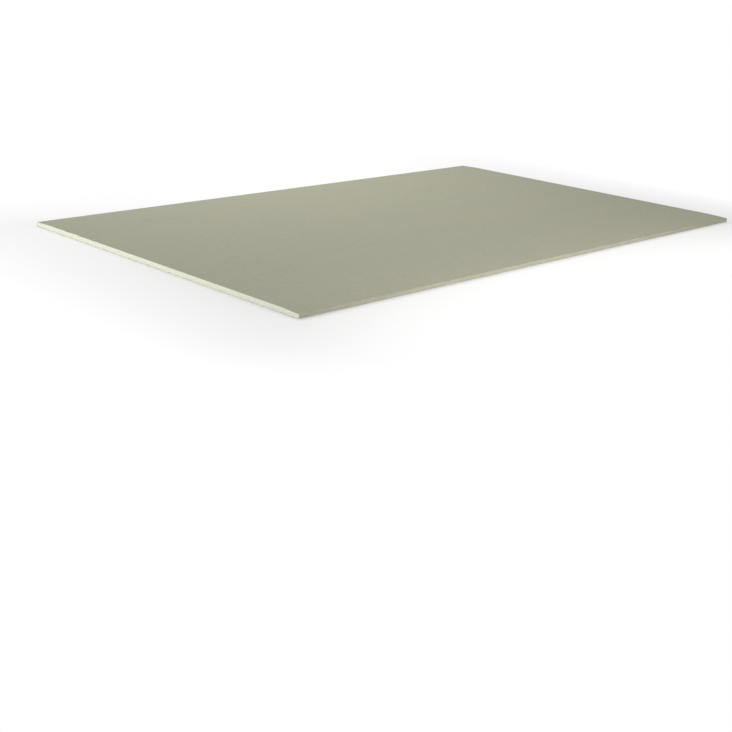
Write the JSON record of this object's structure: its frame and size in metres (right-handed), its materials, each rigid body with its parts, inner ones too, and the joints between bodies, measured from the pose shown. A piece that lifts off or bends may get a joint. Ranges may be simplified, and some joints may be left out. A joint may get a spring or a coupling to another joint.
{
  "type": "drywall sheet",
  "caption": "Flat rectangular gypsum board with tapered long edges wrapped in face paper, square cut ends and a lapped back paper.",
  "frame": {"origin": "centre of the back paper's outer face, on the floor that the sheet lies on", "axes": "+X along the sheet's length, +Y across its width, +Z out of the face paper"},
  "size_m": [2, 1.25, 0.015],
  "materials": {
    "gypsum": "matte",
    "face_paper": "matte",
    "back_paper": "matte"
  },
  "bodies": {
    "root": {"gypsum_core": "gypsum", "face_paper": "face_paper", "back_paper": "back_paper"}
  },
  "joints": []
}
